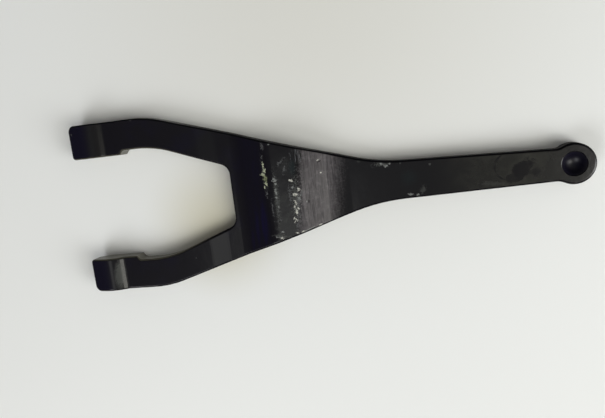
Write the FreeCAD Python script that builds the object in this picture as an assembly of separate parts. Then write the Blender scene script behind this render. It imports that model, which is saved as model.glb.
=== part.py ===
import FreeCAD, Part
import math
import os

# Forged clutch release fork, lying on its back with the push-rod socket up.
# Millimetres. X runs along the lever, with the eye at +X and the tines at -X,
# Y runs across and Z is up. The origin is under the middle of the bounding box.
# A station is a distance from the eye's centre towards the tines.

# Plan of the lever
reach = 289.1              # eye centre to the ends of the tines
eye_radius = 10.9
neck_radius = 8.0          # hollow between the eye and the arm
arm_half_at_eye = 8.4      # half width of the arm, run on to the eye's centre
arm_half_at_web = 11.2     # half width of the arm where the web starts
fork_width = 106.0
fork_length = 187.0        # start of the web to the ends of the tines
web_hollow_radius = 110.0
shoulder_length = 50.7     # outer bend, from the web into a tine, to the ends of the tines
shoulder_radius = 67.0

# Throat between the tines
tine_width = 18.4
tine_length = 99.6         # crosswise bottom of the throat to the ends of the tines
throat_half_width = 17.7
throat_corner_radius = 7.0
elbow_length = 53.6        # where the throat's flare turns parallel, to the ends of the tines
elbow_radius = 66.0

# Pads on the inner side of the tips
pad_step = 2.6
pad_length = 31.2
pad_hollow_run = 2.0
pad_hollow_radius = 3.0
tip_outer_radius = 4.0
tip_inner_radius = 2.0

# Side profile, as heights over the surface that the lever lies on
arm_top_at_eye = 9.8
arm_top_at_foot = 8.6
arm_thickness = 8.0
foot_lead = 65.0           # foot of the ramp up to the hump, before the throat
foot_radius = 52.0
crest_lead = 42.0          # start of the crest, before the throat
crest_run = 16.5
crest_top = 14.2
crest_radius = 18.0
hump_thickness = 9.8
dip_lead = 5.5             # start of the dip, before the throat
dip_run = 12.0
dip_top = 9.0
dip_radius = 22.0
rise_run = 11.0            # from the dip up to the level of the tines
tine_top = 9.8
nose_length = 22.4         # crease at the foot of the cam nose, to the ends of the tines
crease_radius = 2.0
crease_top = 10.8
nose_ramp_run = 8.4
nose_top = 15.2
nose_radius = 19.0
nose_end_top = 12.4
belly_radius = 25.0        # bends of the underside
belly_shift = 3.0          # the underside bends this much later than the top
toe_run = 8.0              # the underside rises over this last stretch of the tines
toe_rise = 4.5
toe_radius = 12.0

# Push-rod socket in the eye
socket_mouth_radius = 6.4
socket_wall_angle = 61.0   # degrees the cone stands up from level
socket_ball_radius = 5.3

# Pivot seat under the hump
pivot_lead = 33.5          # centre of the seat, before the throat
pivot_ball_radius = 7.5
pivot_depth = 4.4

# Edges
rim_radius = 1.2
socket_edge_radius = 0.4
pivot_edge_radius = 0.6

eye_x = (reach - eye_radius) / 2
tine_half = fork_width / 2
inner_half = tine_half - tine_width
pad_half = inner_half - pad_step
hump_bottom = crest_top - hump_thickness

web_station = reach - fork_length
shoulder_station = reach - shoulder_length
throat_station = reach - tine_length
elbow_station = reach - elbow_length
pad_station = reach - pad_length
foot_station = throat_station - foot_lead
crest_start_station = throat_station - crest_lead
crest_end_station = crest_start_station + crest_run
dip_start_station = throat_station - dip_lead
dip_end_station = dip_start_station + dip_run
tine_station = dip_end_station + rise_run
nose_station = reach - nose_length
pivot_station = throat_station - pivot_lead


def plan_point(station, y):
    return FreeCAD.Vector(eye_x - station, y, 0)


def side_point(station, z):
    return FreeCAD.Vector(eye_x - station, 0, z)


def rounded_wire(corners):
    """Closed wire of straight runs, with each corner turned by an arc of its own radius."""
    turns = []
    for index, (point, radius) in enumerate(corners):
        if radius == 0:
            turns.append((point, None, point))
            continue
        to_before = (corners[index - 1][0] - point).normalize()
        to_after = (corners[(index + 1) % len(corners)][0] - point).normalize()
        half_open = to_before.getAngle(to_after) / 2
        setback = radius / math.tan(half_open)
        bisector = (to_before + to_after).normalize()
        middle = point + bisector * (radius / math.sin(half_open) - radius)
        turns.append((point + to_before * setback, middle, point + to_after * setback))
    edges = []
    for index, (start, middle, end) in enumerate(turns):
        if middle is not None:
            edges.append(Part.Arc(start, middle, end).toShape())
        next_start = turns[(index + 1) % len(turns)][0]
        if not next_start.isEqual(end, 1e-6):
            edges.append(Part.LineSegment(end, next_start).toShape())
    return Part.Wire(edges)


def neck_corners():
    """Corners that carry the eye's round into the arm through a hollow tangent to both."""
    arm_slope = (arm_half_at_web - arm_half_at_eye) / web_station
    lean = math.atan(arm_slope)
    wrap = math.acos((neck_radius + arm_half_at_eye * math.cos(lean)) / (eye_radius + neck_radius)) - lean
    touch_station = eye_radius * math.sin(wrap)
    touch_half = eye_radius * math.cos(wrap)
    overhang = touch_half - arm_half_at_eye - arm_slope * touch_station
    run = overhang / (math.sin(wrap) + arm_slope * math.cos(wrap))
    station = touch_station + run * math.cos(wrap)
    return [
        (-eye_radius, eye_radius, eye_radius),
        (eye_radius * math.tan(wrap / 2), eye_radius, eye_radius),
        (station, arm_half_at_eye + arm_slope * station, neck_radius),
    ]


def plan_corners():
    """Corners of the outline, down one side of the lever and back up the other."""
    side = neck_corners() + [
        (web_station, arm_half_at_web, web_hollow_radius),
        (shoulder_station, tine_half, shoulder_radius),
        (reach, tine_half, tip_outer_radius),
        (reach, pad_half, tip_inner_radius),
        (pad_station, pad_half, 0),
        (pad_station - pad_hollow_run, inner_half, pad_hollow_radius),
        (elbow_station, inner_half, elbow_radius),
        (throat_station, throat_half_width, throat_corner_radius),
    ]
    left = [(plan_point(station, y), radius) for station, y, radius in side]
    right = [(plan_point(station, -y), radius) for station, y, radius in reversed(side)]
    return left + right


def side_corners():
    """Corners of the side profile, along the top to the tips and back underneath."""
    behind = -2 * eye_radius
    beyond = reach + 2 * rim_radius
    arm_slope = (arm_top_at_foot - arm_top_at_eye) / foot_station
    arm_top_behind = arm_top_at_eye + arm_slope * behind
    nose_peak_station = nose_station + nose_ramp_run
    nose_slope = (nose_end_top - nose_top) / (reach - nose_peak_station)
    toe_slope = toe_rise / toe_run
    top = [
        (behind, arm_top_behind, 0),
        (foot_station, arm_top_at_foot, foot_radius),
        (crest_start_station, crest_top, crest_radius),
        (crest_end_station, crest_top, crest_radius),
        (dip_start_station, dip_top, dip_radius),
        (dip_end_station, dip_top, dip_radius),
        (tine_station, tine_top, dip_radius),
        (nose_station, crease_top, crease_radius),
        (nose_peak_station, nose_top, nose_radius),
        (beyond, nose_end_top + nose_slope * (beyond - reach), 0),
    ]
    underside = [
        (beyond, toe_rise + toe_slope * (beyond - reach), 0),
        (reach - toe_run, 0, toe_radius),
        (dip_start_station + belly_shift, 0, belly_radius),
        (crest_end_station + belly_shift, hump_bottom, belly_radius),
        (crest_start_station - belly_shift, hump_bottom, belly_radius),
        (foot_station, arm_top_at_foot - arm_thickness, belly_radius),
        (behind, arm_top_behind - arm_thickness, 0),
    ]
    return [(side_point(station, z), radius) for station, z, radius in top + underside]


def forged_bar():
    """The outline carried up through the side profile, before its edges are rounded."""
    below = -nose_top
    plan = Part.Face(rounded_wire(plan_corners()))
    plan.translate(FreeCAD.Vector(0, 0, below))
    prism = plan.extrude(FreeCAD.Vector(0, 0, 3 * nose_top))
    profile = Part.Face(rounded_wire(side_corners()))
    profile.translate(FreeCAD.Vector(0, -fork_width, 0))
    band = profile.extrude(FreeCAD.Vector(0, 2 * fork_width, 0))
    return prism.common(band)


def rim_edges(shape):
    """Edges where an upright wall meets the top or the underside."""
    chosen = []
    for edge in shape.Edges:
        middle = edge.valueAt((edge.FirstParameter + edge.LastParameter) / 2)
        lying = []
        for face in shape.ancestorsOfType(edge, Part.Face):
            u, v = face.Surface.parameter(middle)
            lying.append(abs(face.normalAt(u, v).z) > 0.5)
        if lying.count(True) == 1:
            chosen.append(edge)
    return chosen


def eye_foot():
    """Round foot under the eye, which stands on the same surface as the tines."""
    foot = Part.makeCylinder(eye_radius, arm_thickness / 2, FreeCAD.Vector(eye_x, 0, 0))
    lowest = [edge for edge in foot.Edges if edge.BoundBox.ZMax < 1e-6]
    return foot.makeFillet(rim_radius, lowest)


def socket_profile(mouth_z):
    """Half section of the push-rod socket: a steep cone that runs into a ball."""
    lean = math.radians(socket_wall_angle)
    touch_radius = socket_ball_radius * math.sin(lean)
    touch_z = mouth_z - (socket_mouth_radius - touch_radius) * math.tan(lean)
    centre_z = touch_z + socket_ball_radius * math.cos(lean)
    half_lean = lean / 2
    over_z = mouth_z + socket_mouth_radius
    over_radius = socket_mouth_radius + (over_z - mouth_z) / math.tan(lean)
    bottom = FreeCAD.Vector(0, 0, centre_z - socket_ball_radius)
    on_ball = FreeCAD.Vector(socket_ball_radius * math.sin(half_lean), 0,
                             centre_z - socket_ball_radius * math.cos(half_lean))
    touch = FreeCAD.Vector(touch_radius, 0, touch_z)
    over = FreeCAD.Vector(over_radius, 0, over_z)
    axis_top = FreeCAD.Vector(0, 0, over_z)
    return Part.Face(Part.Wire([
        Part.Arc(bottom, on_ball, touch).toShape(),
        Part.LineSegment(touch, over).toShape(),
        Part.LineSegment(over, axis_top).toShape(),
        Part.LineSegment(axis_top, bottom).toShape(),
    ]))


def push_rod_socket():
    cutter = socket_profile(arm_top_at_eye).revolve(FreeCAD.Vector(0, 0, 0), FreeCAD.Vector(0, 0, 1), 360)
    cutter.translate(FreeCAD.Vector(eye_x, 0, 0))
    return cutter


def pivot_seat():
    centre_z = hump_bottom + pivot_depth - pivot_ball_radius
    return Part.makeSphere(pivot_ball_radius, FreeCAD.Vector(eye_x - pivot_station, 0, centre_z))


def mouth_edges(shape, x, radius):
    """Edges of the round mouth at x on the lever's centre line."""
    near = 0.1
    chosen = []
    for edge in shape.Edges:
        box = edge.BoundBox
        centred = abs(box.Center.x - x) < near and abs(box.Center.y) < near
        if centred and abs(box.YLength / 2 - radius) < near:
            chosen.append(edge)
    return chosen


def release_fork():
    bar = forged_bar()
    bar = bar.makeFillet(rim_radius, rim_edges(bar))
    body = bar.fuse(eye_foot()).removeSplitter()
    body = body.cut(push_rod_socket()).cut(pivot_seat())
    pivot_mouth_radius = math.sqrt(pivot_ball_radius ** 2 - (pivot_ball_radius - pivot_depth) ** 2)
    body = body.makeFillet(socket_edge_radius, mouth_edges(body, eye_x, socket_mouth_radius))
    return body.makeFillet(pivot_edge_radius, mouth_edges(body, eye_x - pivot_station, pivot_mouth_radius))


os.makedirs("parts", exist_ok=True)
fork = release_fork()
print("valid", fork.isValid(), "solids", len(fork.Solids), "faces", len(fork.Faces), "volume", round(fork.Volume))
print("box", fork.optimalBoundingBox())
fork.exportStep("parts/release_fork.step")
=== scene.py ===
import bpy
import bmesh
from mathutils import Matrix, Vector

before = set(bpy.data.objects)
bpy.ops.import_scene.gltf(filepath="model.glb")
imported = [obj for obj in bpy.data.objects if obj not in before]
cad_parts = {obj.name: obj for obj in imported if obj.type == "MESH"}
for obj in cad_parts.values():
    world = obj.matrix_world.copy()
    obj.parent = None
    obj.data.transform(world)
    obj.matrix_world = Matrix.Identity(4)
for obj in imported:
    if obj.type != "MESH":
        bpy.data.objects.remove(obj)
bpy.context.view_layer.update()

print("clutch fork: frame loaded")

# Object coordinates are the part's own frame in metres:
# +X towards the eye, tines towards -X, the bench is z = 0.


def nodeTree(owner):
    owner.use_nodes = True
    tree = owner.node_tree
    tree.nodes.clear()
    return tree


def addNode(tree, kind, inputs=None, **settings):
    node = tree.nodes.new(kind)
    for name, value in settings.items():
        setattr(node, name, value)
    for name, value in (inputs or {}).items():
        socket = node.inputs[name]
        if isinstance(value, bpy.types.NodeSocket):
            tree.links.new(value, socket)
        else:
            socket.default_value = value
    return node


def mathNode(tree, operation, first, second=0.0):
    return addNode(tree, "ShaderNodeMath", {0: first, 1: second}, operation=operation).outputs[0]


def mapRange(tree, value, fromMin, fromMax, toMin=0.0, toMax=1.0, smooth=True):
    return addNode(tree, "ShaderNodeMapRange",
                   {"Value": value, "From Min": fromMin, "From Max": fromMax,
                    "To Min": toMin, "To Max": toMax},
                   interpolation_type="SMOOTHSTEP" if smooth else "LINEAR").outputs["Result"]


def mixColour(tree, factor, first, second):
    node = addNode(tree, "ShaderNodeMix", {0: factor, 6: first, 7: second}, data_type="RGBA")
    return node.outputs[2]


def noise(tree, vector, scale, detail, roughness):
    return addNode(tree, "ShaderNodeTexNoise",
                   {"Vector": vector, "Scale": scale, "Detail": detail, "Roughness": roughness}).outputs["Fac"]


def product(tree, *factors):
    result = factors[0]
    for factor in factors[1:]:
        result = mathNode(tree, "MULTIPLY", result, factor)
    return result


def total(tree, *terms):
    result = terms[0]
    for term in terms[1:]:
        result = mathNode(tree, "ADD", result, term)
    return result


def largest(tree, *masks):
    result = masks[0]
    for mask in masks[1:]:
        result = mathNode(tree, "MAXIMUM", result, mask)
    return result


def distanceTo(tree, vector, centre):
    return addNode(tree, "ShaderNodeVectorMath", {0: vector, 1: centre}, operation="DISTANCE").outputs["Value"]


def newGroup(name, inputs):
    group = bpy.data.node_groups.new(name, "ShaderNodeTree")
    for label in inputs:
        group.interface.new_socket(label, in_out="INPUT", socket_type="NodeSocketFloat")
    group.interface.new_socket("Mask", in_out="OUTPUT", socket_type="NodeSocketFloat")
    return group, group.nodes.new("NodeGroupInput").outputs, group.nodes.new("NodeGroupOutput").inputs["Mask"]


# ragged spot: a leaning oval on the upper side whose border is eaten by noise
def makeSpotGroup():
    group, given, mask = newGroup("raggedSpot", [
        "Along", "Across", "Centre Along", "Centre Across", "Length", "Width", "Lean", "Ragged", "Grain", "Edge"])
    cosine = mathNode(group, "COSINE", given["Lean"])
    sine = mathNode(group, "SINE", given["Lean"])
    offAlong = mathNode(group, "SUBTRACT", given["Along"], given["Centre Along"])
    offAcross = mathNode(group, "SUBTRACT", given["Across"], given["Centre Across"])
    sideways = mathNode(group, "SUBTRACT", product(group, offAlong, cosine), product(group, offAcross, sine))
    lengthways = total(group, product(group, offAlong, sine), product(group, offAcross, cosine))
    inWidth = mathNode(group, "POWER", mathNode(group, "DIVIDE", sideways, given["Width"]), 2.0)
    inLength = mathNode(group, "POWER", mathNode(group, "DIVIDE", lengthways, given["Length"]), 2.0)
    distance = mathNode(group, "SQRT", total(group, inWidth, inLength))
    inside = mathNode(group, "SUBTRACT", 1.0, distance)
    bite = product(group, mathNode(group, "SUBTRACT", given["Grain"], 0.5), given["Ragged"])
    group.links.new(mapRange(group, total(group, inside, bite), 0.0, given["Edge"]), mask)
    return group


# soft band across the lever, between two places along it
def makeBandGroup():
    group, given, mask = newGroup("crossBand", ["Along", "Rise Start", "Rise End", "Fall Start", "Fall End"])
    rise = mapRange(group, given["Along"], given["Rise Start"], given["Rise End"])
    fall = mapRange(group, given["Along"], given["Fall Start"], given["Fall End"], 1.0, 0.0)
    group.links.new(product(group, rise, fall), mask)
    return group


spotGroup = makeSpotGroup()
bandGroup = makeBandGroup()


paint = {
    "colours": {
        "black": (0.0044, 0.0040, 0.0052, 1.0),
        # violet is a painted reflection of bluish surroundings
        "violet": (0.0044, 0.0033, 0.0200, 1.0),
        # painted dark violet reflection inside the socket
        "deepViolet": (0.0036, 0.0028, 0.0100, 1.0),
        "teal": (0.0060, 0.0105, 0.0120, 1.0),
        "film": (0.036, 0.038, 0.036, 1.0),      # dry dust on the gloss
        "dust": (0.047, 0.047, 0.038, 1.0),      # older, warmer dust towards the eye, with a painted sheen of the light
        "rubbed": (0.108, 0.100, 0.106, 1.0),    # painted mauve reflection of the light on the ramp's slope
        "scratch": (0.110, 0.115, 0.125, 1.0),
        "hollow": (0.050, 0.050, 0.045, 1.0),    # painted shade in the chips, laid by noise
        "shadow": (0.0014, 0.0011, 0.0030, 1.0),
        # painted reflection on the tines' inner walls
        "innerWall": (0.092, 0.088, 0.070, 1.0),
    },
    "indexOfRefraction": 1.5,

    # roughness, and the metal that takes the shine off the rims
    "gloss": {
        "paint": 0.17,
        "rampBrushing": 0.25,
        "film": 0.12,
        "chips": 0.6,
        "socket": 0.40,
        "wall": 0.85,
        "padWall": 0.34,
        "rimMetal": 0.9,
    },
    "relief": {"peel": 0.2, "rampBrushing": 0.12, "chips": 0.5, "strength": 0.3, "depth": 0.0004},

    # noise on Object coordinates: scale, detail, roughness
    "patterns": {
        "coarseGrain": (900.0, 3.0, 0.7),
        "fineGrain": (2100.0, 2.0, 0.6),
        "cloud": (75.0, 4.0, 0.6),
        "drift": (40.0, 3.0, 0.6),
        "scuff": (260.0, 4.0, 0.7),
        "peel": (380.0, 2.0, 0.4),
        "swell": (55.0, 1.0, 0.5),
        "brushing": (1.0, 3.0, 0.6),
    },
    "brushStretch": (1500.0, 90.0, 1500.0),      # brush marks run across the lever

    # soft bands across the lever: rise from, to, fall from, to, in mm along it
    "bands": {
        "nose": (-170, -160, -141, -134),
        "dip": (-46, -38, -30, -26.5),
        "crest": (-27, -22, -9, 0),
        "ramp": (-10.0, -5.5, 7.0, 20.0),
        "arm": (62, 104, 112, 150),
    },
    "rampLean": 0.14,                            # of the ramp's left border, per metre across
    "rampRagged": 0.006,                         # the same border, in metres

    # what a value is mapped from and, where it isn't 0 to 1, to; places are in metres
    "ranges": {
        "grain": (0.28, 0.72),
        "topHeight": (0.0065, 0.0080),
        "topFacing": (0.3, 0.7),
        "driftNoise": (0.50, 0.70, 0.0, 0.20),
        "driftPlace": (-0.010, -0.030),
        "drawn": (0.36, 0.60, 0.50, 1.0),
        "mottled": (0.38, 0.66),
        "scuffed": (0.46, 0.66),
        "downSide": (0.012, -0.014, 0.10, 1.0),
        "smeared": (0.36, 0.62, 0.45, 1.0),
        "blotch": (0.32, 0.68),
        "printSide": (0.108, 0.101),
        "printCloud": (0.28, 0.42),
        "rampStreaks": (0.30, 0.66, 0.55, 1.0),
        "rampScuffs": (0.0, 1.0, 0.72, 1.0),
        "scratches": (0.52, 0.60),
        "hollow": (0.60, 0.30),
        "wallFacing": (0.45, 0.88, 1.0, 0.0),
        "rimSideways": (0.13, 0.32),
        "rimFacing": (0.87, 0.78),
        "rimAboveWall": (0.08, 0.25),
        "innerSide": (-0.010, -0.018),
        "tines": (-0.062, -0.085),
    },
    "strengths": {
        "coarseGrain": 0.6,
        "fineGrain": 0.4,
        "dipViolet": 0.22,
        "noseViolet": 0.32,
        "crestClouds": 0.45,
        "crestScuffs": 0.50,
        "dustClouds": 0.45,
        "dustScuffs": 0.15,
        "dustGround": 0.40,
        "dust": 0.60,
        "hollow": 0.70,
    },

    # Marks in the paint, each: along (mm), across (mm), half length, half width, lean, raggedness.
    # Along runs down the lever, across runs over it. A mark's length lies across the lever,
    # and a lean turns its upper end towards the eye.
    "marks": {
        "faintScuffs": {
            "edge": 0.9,
            "colour": (0.050, 0.052, 0.055, 1.0),
            "spots": [
                (-26.7, 27.2, 2.8, 1.2, 0.0, 2.6),
                (-27.6, 21.6, 1.8, 0.7, 0.0, 2.6),
                (-27.3, -0.6, 2.2, 0.7, 0.0, 2.8),
                (-21.7, -5.0, 1.6, 0.5, 0.0, 2.8),
                (-21.6, -11.4, 2.2, 0.5, 0.0, 2.8),
                (-22.6, -16.6, 1.5, 0.4, 0.2, 2.4),
                (-20.9, -15.9, 1.5, 0.4, -0.5, 2.4),
                (-11.6, -20.4, 2.2, 0.8, 0.0, 2.6),
                (-16.9, 17.4, 3.2, 0.9, 0.9, 3.6),
                (-15.2, 12.8, 2.6, 0.9, 0.3, 3.6),
                (-24.9, -9.0, 5.0, 0.5, 0.0, 3.2),
                (-13.6, -2.0, 6.0, 0.9, 0.0, 3.4),
                (-9.4, -8.0, 11.0, 1.1, 0.05, 2.8),
                (-6.9, -2.0, 4.0, 0.7, 0.3, 3.0),
            ],
        },
        "primerChips": {
            "edge": 0.6,
            "colour": (0.175, 0.185, 0.180, 1.0),
            "spots": [
                (-22.1, 28.4, 1.4, 0.6, 1.2, 1.6),
                (-21.9, 8.2, 1.4, 0.9, 0.2, 2.2),
                (-21.8, 6.9, 1.0, 1.6, 0.2, 2.2),
                (-21.3, 5.2, 1.1, 0.6, -0.2, 2.2),
                (-21.7, 0.9, 2.6, 0.8, 0.05, 2.6),
                (-21.9, -2.6, 1.0, 0.8, 0.0, 2.2),
                (-21.1, -8.2, 1.1, 0.45, 0.0, 1.8),
                (-20.5, -23.2, 0.6, 1.4, 0.1, 2.0),
                (-23.3, -26.3, 0.6, 1.8, 0.1, 2.0),
                (-11.5, 2.3, 0.9, 1.1, 0.0, 2.2),
                (-8.3, -3.8, 1.8, 1.0, 0.2, 2.6),
                (-10.7, -16.9, 0.4, 0.9, 0.0, 1.8),
                (-4.3, -6.5, 1.0, 0.4, 0.0, 1.4),
                (-4.2, -22.6, 3.4, 0.35, 1.22, 1.6),
                (41.8, 8.8, 0.9, 1.5, 0.2, 1.8),
                (44.2, 10.2, 0.9, 0.7, 0.3, 1.8),
                (39.4, 10.2, 0.7, 1.5, 0.0, 1.8),
                (54.1, -8.5, 0.8, 1.8, 0.1, 1.2),
                (58.2, -8.9, 0.7, 1.1, 0.0, 1.2),
            ],
        },
        "creamChips": {
            "edge": 0.5,
            "colour": (0.40, 0.43, 0.30, 1.0),
            "spots": [
                (-27.5, 16.2, 2.6, 0.6, -0.08, 2.0),
                (-27.2, 13.4, 1.6, 1.1, 0.0, 2.2),
                (-28.2, 11.2, 1.0, 1.7, 0.1, 2.2),
                (-27.0, 5.8, 1.4, 0.8, -0.3, 2.2),
                (-28.2, 4.0, 1.2, 0.6, 0.1, 2.2),
            ],
        },
        "oliveChips": {
            "edge": 0.6,
            "colour": (0.190, 0.215, 0.105, 1.0),
            "spots": [
                (-27.3, 8.8, 2.5, 1.4, -0.15, 2.2),
            ],
        },
        "steelChips": {
            "edge": 0.5,
            "colour": (0.48, 0.48, 0.43, 1.0),
            "spots": [
                (-21.1, -26.8, 0.9, 1.1, 0.0, 1.6),
                (-12.2, 6.4, 0.7, 1.6, 0.3, 2.0),
                (-8.0, 0.6, 1.2, 1.2, -0.3, 2.0),
                (-10.7, -1.9, 0.9, 1.5, 0.4, 2.2),
                (-10.8, -6.4, 1.7, 0.7, -0.25, 2.4),
                (-11.4, -8.8, 1.2, 0.7, 0.1, 2.2),
                (-9.8, -10.0, 0.6, 1.2, 0.4, 2.0),
                (-10.9, -12.3, 1.6, 0.9, 0.1, 2.2),
                (-12.7, -15.6, 1.2, 0.35, 0.5, 1.6),
                (-11.5, -16.6, 1.4, 0.35, -0.6, 1.6),
                (-12.5, -17.7, 1.5, 0.32, 0.7, 1.6),
                (-12.0, -24.2, 0.5, 1.4, 0.1, 1.8),
                (-8.4, -23.8, 1.4, 0.5, 1.25, 1.6),
                (1.6, -21.0, 1.1, 0.4, 1.25, 1.4),
                (4.3, 16.2, 1.2, 0.35, 1.1, 0.8),
                (5.2, 8.8, 0.5, 0.5, 0.0, 1.2),
            ],
        },
        "nicks": {
            "edge": 0.4,
            "colour": (0.0015, 0.0015, 0.0018, 1.0),
            "spots": [
                (5.0, 15.4, 1.2, 0.35, 1.1, 0.8),
                (-3.2, -6.7, 1.2, 0.4, 0.0, 1.2),
                (-21.7, -16.9, 0.6, 0.6, 0.0, 1.2),
                (-7.2, 16.0, 2.2, 0.35, -0.05, 1.4),
                (-4.9, 19.6, 2.6, 0.4, 0.0, 1.6),
                (-29.6, 9.8, 1.0, 0.5, 0.0, 1.6),
                (-9.6, 22.0, 2.0, 0.35, 0.0, 1.6),
            ],
        },
    },

    # thin dust and rubbed places: the same six numbers, then how strong
    "films": [
        (-10.4, -5.0, 15.0, 3.0, 0.05, 2.2, 1.1),
        (-21.5, -3.0, 16.0, 1.7, 0.02, 2.4, 0.8),
        (-27.6, 9.0, 13.0, 1.6, -0.05, 2.2, 0.5),
        (-15.0, 15.0, 5.0, 3.6, 0.3, 2.8, 0.25),
        (-22.0, -25.6, 1.6, 5.0, 0.2, 2.4, 1.0),
        (23.0, 17.6, 1.6, 1.0, 1.2, 2.4, 1.0),
        (30.0, 13.4, 0.9, 4.0, -0.15, 3.0, 1.2),
        (36.6, 11.6, 0.8, 1.2, 0.0, 2.4, 2.2),
        (40.8, 10.6, 1.3, 5.6, -0.1, 3.0, 1.8),
        (50.0, 9.8, 1.3, 0.5, 0.2, 2.4, 1.4),
        (61.0, -6.6, 2.4, 1.8, 0.4, 2.6, 0.8),
        (65.8, 7.2, 0.8, 0.8, 0.0, 1.6, 1.2),
        (99.0, -6.8, 1.2, 7.0, 0.1, 2.8, 0.5),
        (-131.2, -43.0, 12.0, 4.2, 0.12, 0.4, 1.0),
        (-147.6, 47.8, 0.9, 0.5, 0.0, 1.2, 2.6),
        (-107.8, 52.0, 0.5, 0.9, 0.0, 1.4, 2.0),
        (-72.0, 44.8, 0.7, 1.0, 0.0, 1.8, 1.4),
        (-79.0, -36.0, 0.5, 0.5, 0.0, 1.2, 1.4),
    ],

    # dark, greasy places on the arm
    "stains": [
        (104.5, 2.6, 5.0, 3.0, 0.2, 2.6, 0.9),
        (113.5, -0.6, 4.4, 5.4, 0.3, 2.6, 1.0),
        (119.5, -2.6, 3.0, 4.4, 0.1, 2.6, 0.9),
        (107.0, -4.6, 2.6, 3.4, 0.3, 2.6, 0.8),
        (84.0, 1.5, 2.0, 5.0, 0.3, 3.0, 0.5),
        (92.0, -5.5, 3.0, 2.4, 0.2, 3.0, 0.5),
    ],

    # painted violet reflections and teal places: the six numbers of a mark, its soft edge, and how strong
    "violetReflectionStripes": [
        ((-31.6, -17.0, 19.0, 3.2, 0.05, 0.5), 0.7, 1.0),
        ((-36.4, -20.0, 20.0, 2.6, 0.03, 0.6), 0.9, 0.85),
        ((-40.6, -28.0, 11.0, 1.8, 0.03, 0.4), 0.9, 0.7),
        ((-33.4, 14.0, 16.0, 4.6, 0.0, 1.2), 0.9, 0.35),
    ],
    "tealPlaces": [
        ((-10.4, 13.6, 6.5, 3.0, 0.1, 0.6), 0.8, 0.9),
        ((54.0, 1.0, 6.0, 6.0, 0.0, 1.0), 0.9, 0.5),
    ],
    "scratchedPlace": (-7.4, 20.0, 5.4, 4.0, 0.0, 0.6),
    "softEdges": {"film": 0.6, "stain": 0.9, "scratched": 0.5},

    # a faint round print on the arm and the socket's mouth, in metres
    "roundPrint": {"centre": (0.1066, 0.0018, 0.0), "radius": 0.0072, "halfLine": 0.0009},
    "socketMouth": {"centre": (0.1391, 0.0, 0.0), "edge": (0.0066, 0.0069), "rim": (0.0094, 0.0097)},
}


def metres(*lengths):
    return [length / 1000 for length in lengths]


def placeSpot(tree, surface, grain, spot, edge):
    x, y, length, width = metres(*spot[:4])
    lean, ragged = spot[4:]
    return addNode(tree, "ShaderNodeGroup", {
        "Along": surface["along"], "Across": surface["across"], "Centre Along": x, "Centre Across": y,
        "Length": length, "Width": width, "Lean": lean, "Ragged": ragged, "Grain": grain, "Edge": edge,
    }, node_tree=spotGroup).outputs["Mask"]


def placeBand(tree, along, name):
    riseStart, riseEnd, fallStart, fallEnd = metres(*paint["bands"][name])
    return addNode(tree, "ShaderNodeGroup", {
        "Along": along, "Rise Start": riseStart, "Rise End": riseEnd, "Fall Start": fallStart, "Fall End": fallEnd,
    }, node_tree=bandGroup).outputs["Mask"]


def ranged(tree, value, name, smooth=True):
    return mapRange(tree, value, *paint["ranges"][name], smooth=smooth)


def patterned(tree, position, name):
    return noise(tree, position, *paint["patterns"][name])


def weighted(tree, name, *factors):
    return product(tree, *factors, paint["strengths"][name])


def readSurface(tree):
    coordinates = addNode(tree, "ShaderNodeTexCoord").outputs
    position = coordinates["Object"]
    along, across, height = addNode(tree, "ShaderNodeSeparateXYZ", {0: position}).outputs
    facing = addNode(tree, "ShaderNodeSeparateXYZ", {0: coordinates["Normal"]}).outputs
    facingUp = mathNode(tree, "ABSOLUTE", facing[2])
    flat = addNode(tree, "ShaderNodeVectorMath", {0: position, 1: (1.0, 1.0, 0.0)}, operation="MULTIPLY")
    onTop = product(tree, ranged(tree, height, "topHeight"), ranged(tree, facingUp, "topFacing"))
    return {"position": position, "flat": flat.outputs[0], "along": along, "across": across, "height": height,
            "facingY": facing[1], "facingUp": facingUp, "onTop": onTop}


def readPatterns(tree, position):
    cloud = patterned(tree, position, "cloud")
    grain = total(tree, *[weighted(tree, name, patterned(tree, position, name))
                          for name in ("coarseGrain", "fineGrain")])
    stretched = addNode(tree, "ShaderNodeMapping", {"Vector": position, "Scale": paint["brushStretch"]}).outputs[0]
    return {"grain": ranged(tree, grain, "grain", smooth=False), "cloud": cloud,
            "mottled": ranged(tree, cloud, "mottled"),
            "scuffed": ranged(tree, patterned(tree, position, "scuff"), "scuffed"),
            "brushing": patterned(tree, stretched, "brushing")}


# neutral paint with a painted violet reflection in the dip, on the noses and here and there on the tines
def tintWithVioletReflection(tree, surface, pattern):
    along = surface["along"]
    drift = ranged(tree, patterned(tree, surface["position"], "drift"), "driftNoise")
    drift = product(tree, drift, ranged(tree, along, "driftPlace"), surface["onTop"])
    stripes, teal = [largest(tree, *[product(tree, placeSpot(tree, surface, pattern["grain"], spot, edge), strength)
                                     for spot, edge, strength in paint[places]])
                     for places in ("violetReflectionStripes", "tealPlaces")]
    drawn = ranged(tree, pattern["brushing"], "drawn")
    violet = largest(tree, weighted(tree, "dipViolet", placeBand(tree, along, "dip"), drawn),
                     product(tree, stripes, drawn),
                     weighted(tree, "noseViolet", placeBand(tree, along, "nose")), drift)
    colour = mixColour(tree, violet, paint["colours"]["black"], paint["colours"]["violet"])
    return mixColour(tree, product(tree, teal, surface["onTop"]), colour, paint["colours"]["teal"])


# dry film on the crest and in small rubbed places
def filmOver(tree, surface, pattern):
    crest = placeBand(tree, surface["along"], "crest")
    downSide = ranged(tree, surface["across"], "downSide")
    smeared = ranged(tree, pattern["brushing"], "smeared")
    masks = [weighted(tree, "crestClouds", crest, pattern["mottled"], smeared, downSide),
             weighted(tree, "crestScuffs", crest, pattern["scuffed"], downSide)]
    for *spot, strength in paint["films"]:
        place = placeSpot(tree, surface, pattern["grain"], spot, paint["softEdges"]["film"])
        masks.append(product(tree, place, strength))
    return product(tree, total(tree, *masks), surface["onTop"])
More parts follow.
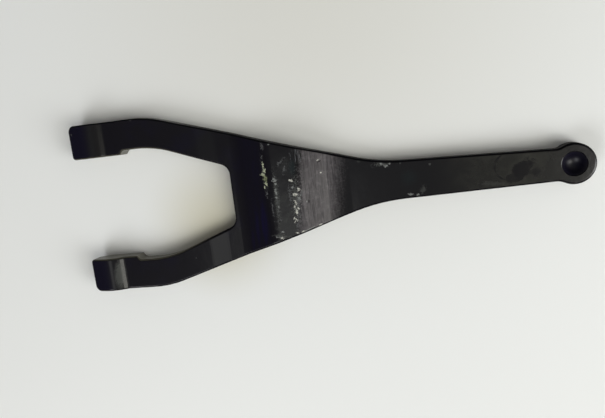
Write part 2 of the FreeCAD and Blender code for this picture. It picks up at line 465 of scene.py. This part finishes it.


# warmer dust and a painted sheen of the light on the arm, wiped away in stains and along a round print
def dustAndSheenOver(tree, surface, pattern):
    blotch = ranged(tree, pattern["cloud"], "blotch", smooth=False)
    masks = [product(tree, placeSpot(tree, surface, blotch, spot, paint["softEdges"]["stain"]), strength)
             for *spot, strength in paint["stains"]]
    mark = paint["roundPrint"]
    fromCentre = distanceTo(tree, surface["flat"], mark["centre"])
    offLine = mathNode(tree, "ABSOLUTE", mathNode(tree, "SUBTRACT", fromCentre, mark["radius"]))
    masks.append(product(tree, mapRange(tree, offLine, 0.0, mark["halfLine"], 1.0, 0.0),
                         ranged(tree, surface["along"], "printSide"), ranged(tree, pattern["cloud"], "printCloud")))
    unstained = mathNode(tree, "SUBTRACT", 1.0, largest(tree, *masks))
    patchy = total(tree, weighted(tree, "dustClouds", pattern["mottled"]),
                   weighted(tree, "dustScuffs", pattern["scuffed"]), paint["strengths"]["dustGround"])
    return weighted(tree, "dust", placeBand(tree, surface["along"], "arm"), patchy, unstained, surface["onTop"])


# the ramp band, which carries the painted reflection and the brushing: its left border leans, and its right one
# fades out in streaks
def findRamp(tree, surface, pattern):
    leaning = mathNode(tree, "SUBTRACT", surface["along"], product(tree, surface["across"], paint["rampLean"]))
    ragged = product(tree, mathNode(tree, "SUBTRACT", pattern["grain"], 0.5), paint["rampRagged"])
    return placeBand(tree, total(tree, leaning, ragged), "ramp")


def paintRampReflectionAndScratches(tree, surface, pattern, ramp, colour):
    # painted reflection of the light on the ramp's slope, streaked along the brush marks
    rubbed = product(tree, ramp, ranged(tree, pattern["brushing"], "rampStreaks"),
                     ranged(tree, pattern["scuffed"], "rampScuffs"), surface["onTop"])
    colour = mixColour(tree, rubbed, colour, paint["colours"]["rubbed"])
    place = placeSpot(tree, surface, pattern["grain"], paint["scratchedPlace"], paint["softEdges"]["scratched"])
    scratched = product(tree, place, ranged(tree, pattern["brushing"], "scratches"), surface["onTop"])
    return mixColour(tree, scratched, colour, paint["colours"]["scratch"])


# chips down to primer and steel; the nicks are only dark, so they aren't chips in the relief
def chipPaint(tree, surface, pattern, colour):
    chips = []
    # painted shade darkens part of each chip
    hollow = weighted(tree, "hollow", ranged(tree, pattern["grain"], "hollow"))
    for name, kind in paint["marks"].items():
        spots = [placeSpot(tree, surface, pattern["grain"], spot, kind["edge"]) for spot in kind["spots"]]
        mask = product(tree, largest(tree, *spots), surface["onTop"])
        bare = kind["colour"]
        if name != "nicks":
            chips.append(mask)
            bare = mixColour(tree, hollow, bare, paint["colours"]["hollow"])
        colour = mixColour(tree, mask, colour, bare)
    return colour, largest(tree, *chips)


# the socket, the rounded rims, and the walls: rims and walls are painted with the shadow colour, the tines' inner
# walls with a lighter painted reflection
def findSides(tree, surface):
    mouth = paint["socketMouth"]
    fromSocket = distanceTo(tree, surface["flat"], mouth["centre"])
    inSocket = product(tree, mapRange(tree, fromSocket, *mouth["edge"], 1.0, 0.0),
                       mapRange(tree, surface["height"], *mouth["rim"], 1.0, 0.0))
    offSocket = mathNode(tree, "SUBTRACT", 1.0, inSocket)
    sideways = mathNode(tree, "ABSOLUTE", surface["facingY"])
    rim = largest(tree, ranged(tree, sideways, "rimSideways"), ranged(tree, surface["facingUp"], "rimFacing"))
    rim = product(tree, rim, ranged(tree, surface["facingUp"], "rimAboveWall"), offSocket)
    wall = product(tree, largest(tree, ranged(tree, surface["facingUp"], "wallFacing"), rim), offSocket)
    tines = ranged(tree, surface["along"], "tines")
    inner = ranged(tree, product(tree, surface["across"], surface["facingY"]), "innerSide")
    return {"socket": inSocket, "rim": rim, "wall": wall, "tines": tines, "inner": product(tree, inner, tines)}


# even gloss, broken by fine brushing on the ramp, dulled by dust, chips and rough side walls
def makeGloss(tree, pattern, ramp, film, chips, sides):
    gloss = paint["gloss"]
    brushed = product(tree, ramp, mathNode(tree, "SUBTRACT", pattern["brushing"], 0.5), gloss["rampBrushing"])
    roughness = total(tree, gloss["paint"], brushed, product(tree, film, gloss["film"]))
    wall = mapRange(tree, sides["tines"], 0.0, 1.0, gloss["wall"], gloss["padWall"], smooth=False)
    return largest(tree, roughness, product(tree, chips, gloss["chips"]),
                   product(tree, sides["socket"], gloss["socket"]),
                   product(tree, sides["wall"], wall), product(tree, sides["rim"], gloss["wall"]))


def makeRelief(tree, surface, pattern, ramp, chips):
    relief = paint["relief"]
    peel, swell = [patterned(tree, surface["position"], name) for name in ("peel", "swell")]
    height = total(tree, product(tree, peel, relief["peel"]), swell,
                   product(tree, ramp, pattern["brushing"], relief["rampBrushing"]))
    height = mathNode(tree, "SUBTRACT", height, product(tree, chips, relief["chips"]))
    return addNode(tree, "ShaderNodeBump", {"Height": height, "Strength": relief["strength"],
                                            "Distance": relief["depth"]}).outputs[0]


def makePaint():
    material = bpy.data.materials.new("chippedBlackPaint")
    tree = nodeTree(material)
    surface = readSurface(tree)
    pattern = readPatterns(tree, surface["position"])
    colours = paint["colours"]

    film = filmOver(tree, surface, pattern)
    ramp = findRamp(tree, surface, pattern)
    colour = mixColour(tree, film, tintWithVioletReflection(tree, surface, pattern), colours["film"])
    colour = mixColour(tree, dustAndSheenOver(tree, surface, pattern), colour, colours["dust"])
    colour = paintRampReflectionAndScratches(tree, surface, pattern, ramp, colour)
    colour, chips = chipPaint(tree, surface, pattern, colour)

    sides = findSides(tree, surface)
    # the socket is painted a dark violet reflection
    colour = mixColour(tree, sides["socket"], colour, colours["deepViolet"])
    # rims and walls painted with the shadow colour, the tines' inner walls with a painted reflection
    paintedWallShadeAndReflection = mixColour(tree, sides["inner"], colours["shadow"], colours["innerWall"])
    colour = mixColour(tree, sides["wall"], colour, paintedWallShadeAndReflection)

    shader = addNode(tree, "ShaderNodeBsdfPrincipled", {
        "Base Color": colour, "Roughness": makeGloss(tree, pattern, ramp, film, chips, sides),
        "Metallic": product(tree, sides["rim"], paint["gloss"]["rimMetal"]),
        "Normal": makeRelief(tree, surface, pattern, ramp, chips), "IOR": paint["indexOfRefraction"],
    })
    output = addNode(tree, "ShaderNodeOutputMaterial")
    tree.links.new(shader.outputs[0], output.inputs["Surface"])
    return material


def dressFork():
    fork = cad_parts["release_fork"]
    material = makePaint()
    for slot in fork.material_slots:
        slot.material = material
    print("fork painted,", len(fork.data.polygons), "faces")


dressFork()


bench = {
    "size": 3.0,
    "drop": 0.0002,                          # just under the fork, so the two never share a plane
    "roughness": 0.6,
    "colour": (0.840, 0.855, 0.845, 1.0),
    "shade": (0.750, 0.752, 0.712, 1.0),     # a soft shadow beyond the lever
    "shadeCentre": (0.014, 0.112, 0.0),
    "shadeReach": (0.0, 0.21),
    "warmThroatShade": (0.640, 0.620, 0.500, 1.0),    # painted warm shade deep in the throat
    "warmThroatShadeCentre": (-0.066, -0.018, 0.0),
    "warmThroatShadeReach": (0.0, 0.055),
}


def makeBench():
    mesh = bpy.data.meshes.new("bench")
    shape = bmesh.new()
    bmesh.ops.create_grid(shape, x_segments=1, y_segments=1, size=bench["size"] / 2)
    bmesh.ops.translate(shape, verts=shape.verts, vec=(0.0, 0.0, -bench["drop"]))
    shape.to_mesh(mesh)
    shape.free()
    table = bpy.data.objects.new("bench", mesh)
    bpy.context.scene.collection.objects.link(table)
    material = bpy.data.materials.new("palePaper")
    tree = nodeTree(material)
    position = addNode(tree, "ShaderNodeTexCoord").outputs["Object"]
    colour = bench["colour"]
    for name in ("shade", "warmThroatShade"):
        away = distanceTo(tree, position, bench[name + "Centre"])
        near = mapRange(tree, away, *bench[name + "Reach"], 1.0, 0.0)
        colour = mixColour(tree, near, colour, bench[name])
    shader = addNode(tree, "ShaderNodeBsdfPrincipled", {"Base Color": colour, "Roughness": bench["roughness"]})
    output = addNode(tree, "ShaderNodeOutputMaterial")
    tree.links.new(shader.outputs[0], output.inputs["Surface"])
    mesh.materials.append(material)
    print("bench laid")


makeBench()


light = {
    "panels": {                       # place, size, power, level or turned to the lever, colour
        "window": ((1.48, -0.93, 2.3), (1.5, 1.5), 25.0, True, (1.0, 0.98, 0.90)),
        "lowRight": ((1.5, -0.6, 0.85), (1.0, 1.0), 17.5, False, (0.98, 0.99, 1.0)),
        "lowLeft": ((-0.8, -1.25, 1.2), (1.0, 1.0), 13.5, False, (0.98, 0.99, 1.0)),
    },
    "walls": (0.66, 0.62, 0.54, 1.0),
    "wallTop": (0.12, 0.40),
    "ceiling": [                      # from over the tines, at -X, to over the eye
        (-0.80, (0.055, 0.050, 0.075, 1.0)),
        (-0.45, (0.100, 0.095, 0.120, 1.0)),
        (-0.30, (0.130, 0.130, 0.140, 1.0)),
        (-0.16, (0.200, 0.205, 0.205, 1.0)),
        (-0.02, (0.225, 0.230, 0.220, 1.0)),
        (0.10, (0.180, 0.180, 0.170, 1.0)),
        (0.22, (0.180, 0.176, 0.162, 1.0)),
        (0.42, (0.260, 0.255, 0.230, 1.0)),
        (0.75, (0.700, 0.690, 0.640, 1.0)),
    ],
    "lamp": {"direction": (-0.245, -0.19, 0.951), "reach": (0.05, 0.13), "colour": (0.95, 0.96, 0.94, 1.0)},
}


def makePanel(name, place, size, power, level, colour):
    data = bpy.data.lights.new(name, "AREA")
    data.shape = "RECTANGLE"
    data.size, data.size_y = size
    data.energy = power
    data.color = colour
    lamp = bpy.data.objects.new(name, data)
    bpy.context.scene.collection.objects.link(lamp)
    lamp.location = place
    if not level:
        lamp.rotation_euler = (-Vector(place)).to_track_quat("-Z", "Y").to_euler()


def makeLight():
    for name, settings in light["panels"].items():
        makePanel(name, *settings)

    # pale walls low down, a ceiling that is darker over the tines than over the eye, and a soft lamp
    world = bpy.data.worlds.new("studio")
    bpy.context.scene.world = world
    tree = nodeTree(world)
    direction = addNode(tree, "ShaderNodeTexCoord").outputs["Generated"]
    parts = addNode(tree, "ShaderNodeSeparateXYZ", {0: direction})
    ramp = addNode(tree, "ShaderNodeValToRGB", {"Fac": mapRange(tree, parts.outputs[0], -1.0, 1.0, smooth=False)})
    stops = ramp.color_ramp.elements     # the two that a new ramp has go once the real ones are in
    for place, colour in light["ceiling"]:
        stop = stops.new((place + 1) / 2)
        stop.color = colour
    stops.remove(stops[0])
    stops.remove(stops[-1])
    lamp = light["lamp"]
    nearLamp = mapRange(tree, distanceTo(tree, direction, lamp["direction"]), *lamp["reach"], 1.0, 0.0)
    ceiling = mixColour(tree, nearLamp, ramp.outputs["Color"], lamp["colour"])
    overhead = mapRange(tree, parts.outputs[2], *light["wallTop"])
    colour = mixColour(tree, overhead, light["walls"], ceiling)
    background = addNode(tree, "ShaderNodeBackground", {"Color": colour})
    output = addNode(tree, "ShaderNodeOutputWorld")
    tree.links.new(background.outputs[0], output.inputs["Surface"])
    print("light set")


makeLight()


view = {
    "place": (0.06581, 0.03714, 0.32414),
    "forward": (-0.2269, -0.1484, -0.9626),
    "up": (0.0844, 0.9816, -0.1712),
    "lens": 33.35,
    "sensor": 36.0,
    "near": 0.01,
}


def makeCamera():
    data = bpy.data.cameras.new("photoView")
    data.lens = view["lens"]
    data.sensor_width = view["sensor"]
    data.clip_start = view["near"]
    camera = bpy.data.objects.new("photoView", data)
    bpy.context.scene.collection.objects.link(camera)
    forward = Vector(view["forward"]).normalized()
    right = forward.cross(Vector(view["up"])).normalized()
    up = right.cross(forward)
    turn = Matrix((right, up, -forward)).transposed().to_4x4()
    camera.matrix_world = Matrix.Translation(view["place"]) @ turn
    bpy.context.scene.camera = camera
    bpy.context.scene.view_settings.view_transform = "Standard"
    print("camera placed")


makeCamera()
